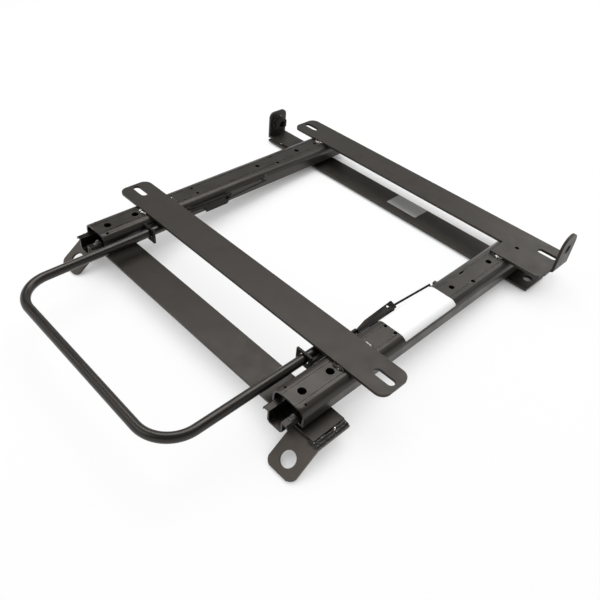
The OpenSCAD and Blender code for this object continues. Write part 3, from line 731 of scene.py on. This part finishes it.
class SLIDERAIL_OT_surfaces(FinishStep, bpy.types.Operator):
    """Makes the shared surface effects and every finish"""
    bl_idname = "slide_rail.surfaces"
    bl_label = "Make finishes"

    def execute(self, context):
        finish = context.scene.slide_rail_finish
        paint_skin_group()
        edge_wear_and_highlight_group()
        dust_group()
        painted_shade_group()
        steel_grain_group()
        satin = finish.paint_roughness
        paint("plate_paint", finish.plate_paint, satin, finish)
        # Painted light: the feet get a lighter copy of the plate paint, standing in for the light on their
        # sloped tabs
        paint("lit_foot_paint", toned(finish.plate_paint, 3.1), satin, finish, dust=0.14)
        # The rails' edges get a stronger painted highlight as well as more thinned paint
        paint("rail_paint", finish.rail_paint, satin - 0.07, finish, specular=0.48, wear_and_highlight=1.8)
        # Painted shade: the lower rails get a much darker copy of the rail paint, standing in for the shade
        # in their troughs
        paint("shaded_runner_paint", toned(finish.rail_paint, 0.40), satin - 0.14, finish, specular=0.30, wear_and_highlight=1.8,
              dust=0.02)
        paint("handle_coat", finish.handle_paint, finish.handle_roughness, finish, specular=0.52, wear_and_highlight=0.4,
              dust=0.02, peel=0.06)
        paint("lever_finish", finish.lever_paint, finish.lever_roughness, finish, specular=0.20, dust=0.01,
              peel=0.08)
        steel("pin_plating", finish.bright_steel, roughness=0.28)
        steel("wire_steel", toned(finish.bright_steel, 0.02), roughness=0.42, metallic=0.6)
        steel("ball_steel", finish.bright_steel, roughness=0.12)
        steel("cage_steel", toned(finish.bright_steel, 0.55), roughness=0.34)
        weld_finish("weld_metal", finish, bare=0.66)
        weld_finish("bright_weld", finish, bare=0.51)
        nylon_finish("stop_nylon", finish)
        label_finish("label_paper", finish.label_white, finish.label_rule, metallic=0.0)
        label_finish("label_foil", finish.foil_silver, toned(finish.label_rule, 0.45), metallic=0.35)
        return {"FINISHED"}


class SLIDERAIL_OT_plates(FinishStep, bpy.types.Operator):
    """Paints the plates, bars, feet and bracket, and rounds their sheared edges; the feet take a lighter copy
    of the plate paint as painted light
    """
    bl_idname = "slide_rail.plates"
    bl_label = "Paint plates"

    def execute(self, context):
        dress(PLATE_NODES, material("plate_paint"))
        # Painted light: the feet take the lighter copy of the plate paint
        dress(FOOT_NODES, material("lit_foot_paint"))
        soften(PLATE_NODES + FOOT_NODES, context.scene.slide_rail_sizes.plate_edge)
        return {"FINISHED"}


class SLIDERAIL_OT_rails(FinishStep, bpy.types.Operator):
    """Paints the upper and lower rails, the lower ones in a darker copy of the rail paint as painted shade"""
    bl_idname = "slide_rail.rails"
    bl_label = "Paint rails"

    def execute(self, context):
        dress(UPPER_RAIL_NODES, material("rail_paint"))
        # Painted shade: the lower rails take the darker copy of the rail paint
        dress(LOWER_RAIL_NODES, material("shaded_runner_paint"))
        soften(UPPER_RAIL_NODES + LOWER_RAIL_NODES, context.scene.slide_rail_sizes.rail_edge)
        return {"FINISHED"}


class SLIDERAIL_OT_handle(FinishStep, bpy.types.Operator):
    """Finishes the handle bar, levers, pins and return wires"""
    bl_idname = "slide_rail.handle"
    bl_label = "Finish handle and levers"

    def execute(self, context):
        dress(("handle_bar",), material("handle_coat"))
        dress(LEVER_NODES, material("lever_finish"))
        dress(WIRE_NODES, material("wire_steel"))
        dress(PIN_NODES, material("pin_plating"))
        soften(LEVER_NODES, context.scene.slide_rail_sizes.rail_edge)
        return {"FINISHED"}


class SLIDERAIL_OT_races(FinishStep, bpy.types.Operator):
    """Finishes the balls, their cages and the stops"""
    bl_idname = "slide_rail.races"
    bl_label = "Finish races and stops"

    def execute(self, context):
        dress(CAGE_NODES, material("cage_steel"))
        dress(BALL_NODES, material("ball_steel"))
        sizes = context.scene.slide_rail_sizes
        low, high = box_mm("front_stops")
        width, ridge_h = sizes.stop_width / MM, sizes.ridge_h / MM
        middles = (low.x + width / 2, high.x - width / 2)
        knobs = [self.knob(x, low, high, width, ridge_h) for x in middles]
        mesh = bpy.data.meshes.new("stop_knobs")
        work = bmesh.new()
        for points, faces in knobs:
            corners = [work.verts.new(p * MM) for p in points]
            for face in faces:
                work.faces.new([corners[i] for i in face]).smooth = True
        bmesh.ops.recalc_face_normals(work, faces=work.faces[:])
        work.to_mesh(mesh)
        work.free()
        piece = piece_from("stop_knobs", mesh, "base", material("stop_nylon"))
        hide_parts("front_stops")
        return {"FINISHED"}

    @staticmethod
    def knob(x, low, high, width, ridge_h):
        """A low ridge with a round knob near its middle, as points and faces"""
        across, along = 18, 30
        squareness = 8
        knob_half_x, knob_half_y, knob_back = 0.96, 0.62, 0.12
        knob_h = high.z - low.z - ridge_h
        points = []
        for j in range(along + 1):
            v = 2 * j / along - 1
            for i in range(across + 1):
                u = 2 * i / across - 1
                ridge = ridge_h * (1 - abs(u) ** squareness) * (1 - abs(v) ** squareness)
                dome = 1 - (u / knob_half_x) ** 2 - ((v - knob_back) / knob_half_y) ** 2
                rise = ridge + knob_h * sqrt(max(dome, 0.0))
                y = low.y + (v + 1) / 2 * (high.y - low.y)
                points.append(Vector((x + u * width / 2, y, low.z + rise)))
        row = across + 1
        faces = [(j * row + i, j * row + i + 1, (j + 1) * row + i + 1, (j + 1) * row + i)
                 for j in range(along) for i in range(across)]
        rim = list(range(row))
        rim += [j * row + across for j in range(1, along + 1)]
        rim += [along * row + i for i in range(across - 1, -1, -1)]
        rim += [j * row for j in range(along - 1, 0, -1)]
        faces.append(tuple(reversed(rim)))
        return points, faces


class SLIDERAIL_OT_welds(FinishStep, bpy.types.Operator):
    """Lays the weld beads of the fixed frame and of the sliding frame"""
    bl_idname = "slide_rail.welds"
    bl_label = "Lay weld beads"

    def execute(self, context):
        sizes = context.scene.slide_rail_sizes
        tree = weld_tree()
        beads = {"Width": sizes.bead_width, "Flatness": sizes.bead_flatness, "Pitch": sizes.bead_pitch,
                 "Seed": sizes.weld_seed, "Finish": material("weld_metal")}
        tacks = dict(beads, Width=sizes.tack_width, Flatness=sizes.tack_flatness, Pitch=sizes.tack_pitch,
                     Seed=sizes.weld_seed + 1)
        bright = dict(tacks, Width=sizes.tack_width * 0.9, Finish=material("bright_weld"))
        round_nut = dict(beads, Width=sizes.nut_bead, Flatness=1.0, Pitch=sizes.fine_pitch,
                         Seed=sizes.weld_seed + 2)
        on_pivots = dict(round_nut, Width=sizes.pivot_bead, Seed=sizes.weld_seed + 3)
        self.lay("frame_welds", path_mesh("frame_paths", self.foot_paths()), tree, beads, "base")
        self.lay("rail_seat_welds", path_mesh("rail_seat_paths", self.seat_paths()), tree, tacks, "base")
        self.lay("plate_welds", path_mesh("plate_paths", self.plate_paths()), tree, bright, "carriage")
        self.lay("nut_weld", path_mesh("nut_path", self.nut_path(), (1, 0, 0)), tree, round_nut, "base")
        self.lay("pivot_welds", path_mesh("pivot_paths", self.pivot_paths()), tree, on_pivots, "carriage")
        return {"FINISHED"}

    @staticmethod
    def lay(name, seed_mesh, tree, values, body):
        """One piece of weld beads along the paths of a seed mesh"""
        piece_from(name, grown(name, seed_mesh, tree, values), body)

    @staticmethod
    def foot_paths():
        """Two rows along each end of the front bar, and a short return round its front corner"""
        low, high = box_mm("front_cross_bar")
        paths = []
        for x in (low.x, high.x):
            out = 1 if x > 0 else -1
            for reach, rise in FOOT_ROWS:
                paths.append([(x + reach * out, high.y - FOOT_ROW_ENDS[1], low.z + rise),
                              (x + (reach + FOOT_BOW) * out, (low.y + high.y) / 2, low.z + rise),
                              (x + reach * out, low.y + FOOT_ROW_ENDS[0], low.z + rise)])
            paths.append([(x + reach * out, low.y + back, low.z + rise) for reach, back, rise in FOOT_RETURN])
        return paths

    @staticmethod
    def seat_paths():
        """Both sides of the lower rails where they cross the bars, and both sides of the bracket"""
        paths = []
        bars = [box_mm("front_cross_bar"), box_mm("rear_cross_bar")]
        top = bars[0][1].z + SEAT_RISE
        for rail in ("left", "right"):
            for side in (-1, 1):
                x = rail_middle(rail) + side * SEAT_HALF
                for low, high in bars:
                    paths.append([(x, low.y + SEAT_INSET, top), (x, high.y - SEAT_INSET, top)])
        low, high = box_mm("rear_left_bracket")
        for y in (low.y - BRACKET_GAP, high.y + BRACKET_GAP):
            paths.append([(low.x + run, y, low.z + SEAT_RISE) for run in BRACKET_RUN])
        return paths

    @staticmethod
    def plate_paths():
        """Short tacks at the plates' edges on top of the upper rails"""
        front_low, front_high = box_mm("front_top_plate")
        plate_width = front_high.y - front_low.y
        paths = []
        for rail in ("left", "right"):
            _, rail_high = box_mm("upper_rail_" + rail)
            middle = rail_middle(rail) + PLATE_TACK_SHIFT[rail]
            z = rail_high.z + PLATE_TACK_RISE
            for plate in ("front_top_plate", "rear_top_plate"):
                low, high = box_mm(plate)
                edges = [(low.y if rail == "right" else high.y - plate_width, -1)]
                if high.y < rail_high.y - LEAST_RAIL_BEHIND:
                    edges.append((high.y, 1))
                for y, out in edges:
                    for lap in PLATE_LAPS:
                        half = PLATE_TACK_HALF - lap
                        paths.append([(middle - half, y + lap * out, z), (middle + half, y + lap * out, z)])
        return paths

    @staticmethod
    def nut_path():
        """A ring round the nut, on the bracket's inner face"""
        low, high = box_mm("bracket_nut")
        centre = (low + high) / 2
        return [ring((low.x + NUT_WELD_INSET, centre.y, centre.z), NUT_WELD_R)]

    @staticmethod
    def pivot_paths():
        """A bead along each pivot bracket, under the front plate"""
        low, high = box_mm("pivot_brackets")
        inset_x, inset_y, drop = PIVOT_WELD_INSET
        return [[(x, low.y + inset_y, high.z - drop), (x, high.y - inset_y, high.z - drop)]
                for x in (low.x + inset_x, high.x - inset_x)]


class SLIDERAIL_OT_pin_heads(FinishStep, bpy.types.Operator):
    """Puts domed heads on the handle's pivot pins and the levers' hinge pins"""
    bl_idname = "slide_rail.pin_heads"
    bl_label = "Head the pins"

    def execute(self, context):
        sizes = context.scene.slide_rail_sizes
        tree = head_tree()
        low, high = box_mm("handle_pins")
        y, z = (low.y + high.y) / 2, (low.z + high.z) / 2
        spots = [((bracket, y, z), (way, 0, 0)) for bracket, way in self.inner_faces()]
        self.head("handle_pin_heads", spots, tree, sizes.head_d, sizes.head_h)
        low, high = box_mm("lever_pins")
        z = (low.z + high.z) / 2
        spots = [((x, high.y, z), (0, 1, 0)) for x in (low.x + LEVER_PIN_R, high.x - LEVER_PIN_R)]
        self.head("lever_pin_heads", spots, tree, sizes.lever_head_d, sizes.lever_head_h)
        return {"FINISHED"}

    @staticmethod
    def inner_faces():
        """The inner faces of the two pivot brackets, and the way that they look"""
        places = sorted({round(v.co.x / MM, 3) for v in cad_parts["pivot_brackets"].data.vertices})
        left = max(x for x in places if x < 0)
        right = min(x for x in places if x > 0)
        return ((left, 1), (right, -1))

    @staticmethod
    def head(name, spots, tree, diameter, height):
        """One piece with a head on each spot, facing the way that the spot gives"""
        seed_mesh = bpy.data.meshes.new("pin_spots")
        seed_mesh.from_pydata([Vector(place) * MM for place, _ in spots], [], [])
        mark_points(seed_mesh, "facing", [way for _, way in spots])
        mesh = grown(name, seed_mesh, tree, {
            "Diameter": diameter, "Height": height, "Finish": material("pin_plating")})
        piece_from(name, mesh, "carriage")


class SLIDERAIL_OT_thread(FinishStep, bpy.types.Operator):
    """Cuts the look of a thread into the bracket nut's bore"""
    bl_idname = "slide_rail.thread"
    bl_label = "Thread the nut"

    def execute(self, context):
        sizes = context.scene.slide_rail_sizes
        low, high = box_mm("bracket_nut")
        bracket_low, _ = box_mm("rear_left_bracket")
        start = bracket_low.x + THREAD_INSET
        run = high.x - start - THREAD_INSET
        centre = (low + high) / 2
        seed_mesh = path_mesh("thread_seed", [[(start, centre.y, centre.z), (start + 1, centre.y, centre.z)]])
        mesh = grown("nut_thread", seed_mesh, thread_tree(), {
            "Radius": sizes.thread_r, "Pitch": sizes.thread_pitch, "Length": run * MM,
            "Start": Vector((start, centre.y, centre.z)) * MM, "Finish": material("lever_finish")})
        piece_from("nut_thread", mesh, "base")
        return {"FINISHED"}


class SLIDERAIL_OT_labels(FinishStep, bpy.types.Operator):
    """Lays the blank paper label over the right rail and the blank foil on the rear bar"""
    bl_idname = "slide_rail.labels"
    bl_label = "Lay blank labels"

    def execute(self, context):
        sizes = context.scene.slide_rail_sizes
        thickness = sizes.label_t / MM
        _, rail_high = box_mm("upper_rail_right")
        _, bar_high = box_mm("rear_cross_bar")
        middle = rail_middle("right")

        def over_rail(across, along):
            """A place on the rail's top and shoulders, by the distance along its section"""
            side = 1 if across > 0 else -1
            angle = max(abs(across) - RAIL_FLAT_HALF, 0.0) / SHOULDER_R
            out = Vector((side * sin(angle), 0, cos(angle)))
            hub_x = middle + side * min(abs(across), RAIL_FLAT_HALF)
            hub = Vector((hub_x, RAIL_LABEL_FRONT + along, rail_high.z - SHOULDER_R))
            return hub + out * SHOULDER_R, out

        def on_bar(across, along):
            """A place on the rear bar's top"""
            place = Vector((BAR_LABEL_LEFT + along, bar_high.y - BAR_LABEL_INSET + across, bar_high.z))
            return place, Vector((0, 0, 1))

        mesh = rounded_sheet("rail_label", over_rail, sizes.label_len / MM, sizes.label_width / MM,
                             sizes.label_corner / MM, thickness)
        piece_from("rail_label", mesh, "carriage", material("label_paper"))
        mesh = rounded_sheet("bar_label", on_bar, sizes.foil_len / MM, sizes.foil_width / MM,
                             sizes.foil_corner / MM, thickness)
        piece_from("bar_label", mesh, "base", material("label_foil"))
        return {"FINISHED"}


class SLIDERAIL_OT_stage(FinishStep, bpy.types.Operator):
    """Makes the floor, the light and the camera"""
    bl_idname = "slide_rail.stage"
    bl_label = "Set the stage"

    def execute(self, context):
        stage = context.scene.slide_rail_stage
        self.floor(stage)
        self.light(context.scene, stage)
        self.camera(context.scene, stage)
        context.scene.view_settings.view_transform = "Standard"
        return {"FINISHED"}

    def floor(self, stage):
        """A wide floor through the feet's tips and the rear bar's lower edge"""
        foot_low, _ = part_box("front_foot_right")
        bar_low, bar_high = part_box("rear_cross_bar")
        slope = (bar_low.z - foot_low.z) / (bar_high.y - foot_low.y)
        drop = 0.0002
        reach = 12.0
        points = []
        for x, y in ((-reach, -reach), (reach, -reach), (reach, reach), (-reach, reach)):
            points.append((x, y, foot_low.z - drop + slope * (y - foot_low.y)))
        mesh = bpy.data.meshes.new("studio_floor")
        mesh.from_pydata(points, [], [(0, 1, 2, 3)])
        coat, tree, shader, point = new_material("floor_paper")
        tree.links.new(blend(tree, spread(tree, noise(tree, point, scale=3.0), 0.3, 0.7, 0.0, 0.03),
                             rgba(stage.floor_white), (0.88, 0.88, 0.88, 1.0)), shader.inputs["Base Color"])
        shader.inputs["Roughness"].default_value = 0.9
        shader.inputs["Specular IOR Level"].default_value = 0.1
        glow = add(tree, "ShaderNodeEmission", inputs={"Color": (1, 1, 1, 1), "Strength": 1.0})
        near = add(tree, "ShaderNodeAmbientOcclusion", props={"samples": 8},
                   inputs={"Distance": stage.shadow_reach})
        clear_of = spread(tree, near.outputs["AO"], 0.05, 0.82, 0.0, stage.floor_glow)
        whitened = maths(tree, "MULTIPLY", seen_directly(tree), clear_of)
        lit = mixed(tree, whitened, shader.outputs[0], glow.outputs[0])
        back = tree.nodes.new("ShaderNodeNewGeometry")
        clear = tree.nodes.new("ShaderNodeBsdfTransparent")
        one_sided = mixed(tree, back.outputs["Backfacing"], lit, clear.outputs[0])
        tree.links.new(one_sided, tree.nodes["Material Output"].inputs["Surface"])
        mesh.materials.append(coat)
        floor = bpy.data.objects.new("studio_floor", mesh)
        bpy.context.scene.collection.objects.link(floor)

    def light(self, scene, stage):
        """A white backdrop under a grey ceiling, a softbox overhead, a fill in front and a strip behind"""
        world = bpy.data.worlds.new("studio_room")
        world.use_nodes = True
        tree = world.node_tree
        even = tree.nodes["Background"]
        even.inputs["Color"].default_value = (1, 1, 1, 1)
        even.inputs["Strength"].default_value = stage.world_level
        way = tree.nodes.new("ShaderNodeTexCoord")
        height = add(tree, "ShaderNodeSeparateXYZ", inputs={"Vector": way.outputs["Generated"]}).outputs["Z"]
        ray = tree.nodes.new("ShaderNodeLightPath")
        mirrored = maths(tree, "SUBTRACT", 1.0, ray.outputs["Is Camera Ray"])
        above = maths(tree, "MULTIPLY", spread(tree, height, 0.12, 0.42), mirrored)
        shade = blend(tree, above, (1, 1, 1, 1), rgba(stage.ceiling))
        white = add(tree, "ShaderNodeBackground", inputs={"Color": shade, "Strength": 1.0})
        room = mixed(tree, seen_directly(tree), even.outputs[0], white.outputs[0])
        tree.links.new(room, tree.nodes["World Output"].inputs["Surface"])
        scene.world = world
        self.softbox(scene, "softbox", stage.lamp_power,
                     place=(-0.40, 0.42, 1.50), aim=(0.02, -0.08, 0.0), size=(1.3, 1.1))
        self.softbox(scene, "fill", stage.fill_power,
                     place=(-0.55, -1.15, 1.05), aim=(0.10, -0.20, 0.0), size=(1.5, 1.0))
        self.softbox(scene, "strip", stage.strip_power,
                     place=(-0.10, 1.15, 0.72), aim=(0.15, 0.10, 0.0), size=(0.35, 0.8))

    def softbox(self, scene, name, power, place, aim, size):
        """A rectangular lamp at a place, turned to what it lights; all in metres and watts"""
        lamp = bpy.data.lights.new(name, "AREA")
        lamp.shape = "RECTANGLE"
        lamp.size, lamp.size_y = size
        lamp.energy = power
        box = bpy.data.objects.new(name, lamp)
        turn = (Vector(place) - Vector(aim)).to_track_quat("Z", "Y").to_matrix().to_4x4()
        box.matrix_world = Matrix.Translation(place) @ turn
        scene.collection.objects.link(box)

    def camera(self, scene, stage):
        """The photograph's viewpoint"""
        turn, lift, roll = radians(stage.azimuth), radians(stage.elevation), radians(stage.roll)
        back = Vector((sin(turn) * cos(lift), -cos(turn) * cos(lift), sin(lift)))
        right = Vector((cos(turn), sin(turn), 0))
        up = back.cross(right)
        across = right * cos(roll) + up * sin(roll)
        upward = up * cos(roll) - right * sin(roll)
        place = Vector(stage.target) + back * stage.distance
        lens = bpy.data.cameras.new("photo_camera")
        lens.lens = stage.lens
        lens.sensor_width = 36.0
        lens.clip_start = 0.01
        camera = bpy.data.objects.new("photo_camera", lens)
        camera.matrix_world = Matrix((
            (across.x, upward.x, back.x, place.x), (across.y, upward.y, back.y, place.y),
            (across.z, upward.z, back.z, place.z), (0, 0, 0, 1)))
        scene.collection.objects.link(camera)
        scene.camera = camera


class VIEW3D_PT_slide_rail(bpy.types.Panel):
    """Lists the steps and the values that a user would change"""
    bl_label = "Slide Rail"
    bl_idname = "VIEW3D_PT_slide_rail"
    bl_space_type = "VIEW_3D"
    bl_region_type = "UI"
    bl_category = "Slide Rail"

    def draw(self, context):
        column = self.layout.column()
        for operator in OPERATORS:
            column.operator(operator.bl_idname, text=operator.bl_label)
        scene = context.scene
        for values in (scene.slide_rail_finish, scene.slide_rail_sizes, scene.slide_rail_stage):
            for key in values.__annotations__:
                column.prop(values, key)


GROUPS = (SlideRailFinish, SlideRailSizes, SlideRailStage)
OPERATORS = (
    SLIDERAIL_OT_surfaces, SLIDERAIL_OT_plates, SLIDERAIL_OT_rails, SLIDERAIL_OT_handle, SLIDERAIL_OT_races,
    SLIDERAIL_OT_welds, SLIDERAIL_OT_pin_heads, SLIDERAIL_OT_thread, SLIDERAIL_OT_labels, SLIDERAIL_OT_stage)


def register():
    for item in (*GROUPS, *OPERATORS, VIEW3D_PT_slide_rail):
        bpy.utils.register_class(item)
    bpy.types.Scene.slide_rail_finish = PointerProperty(type=SlideRailFinish)
    bpy.types.Scene.slide_rail_sizes = PointerProperty(type=SlideRailSizes)
    bpy.types.Scene.slide_rail_stage = PointerProperty(type=SlideRailStage)


def unregister():
    del bpy.types.Scene.slide_rail_stage
    del bpy.types.Scene.slide_rail_sizes
    del bpy.types.Scene.slide_rail_finish
    for item in reversed((*GROUPS, *OPERATORS, VIEW3D_PT_slide_rail)):
        bpy.utils.unregister_class(item)


def main():
    register()
    bpy.ops.slide_rail.surfaces()
    bpy.ops.slide_rail.plates()
    bpy.ops.slide_rail.rails()
    bpy.ops.slide_rail.handle()
    bpy.ops.slide_rail.races()
    bpy.ops.slide_rail.welds()
    bpy.ops.slide_rail.pin_heads()
    bpy.ops.slide_rail.thread()
    bpy.ops.slide_rail.labels()
    bpy.ops.slide_rail.stage()


if __name__ == "__main__":
    main()
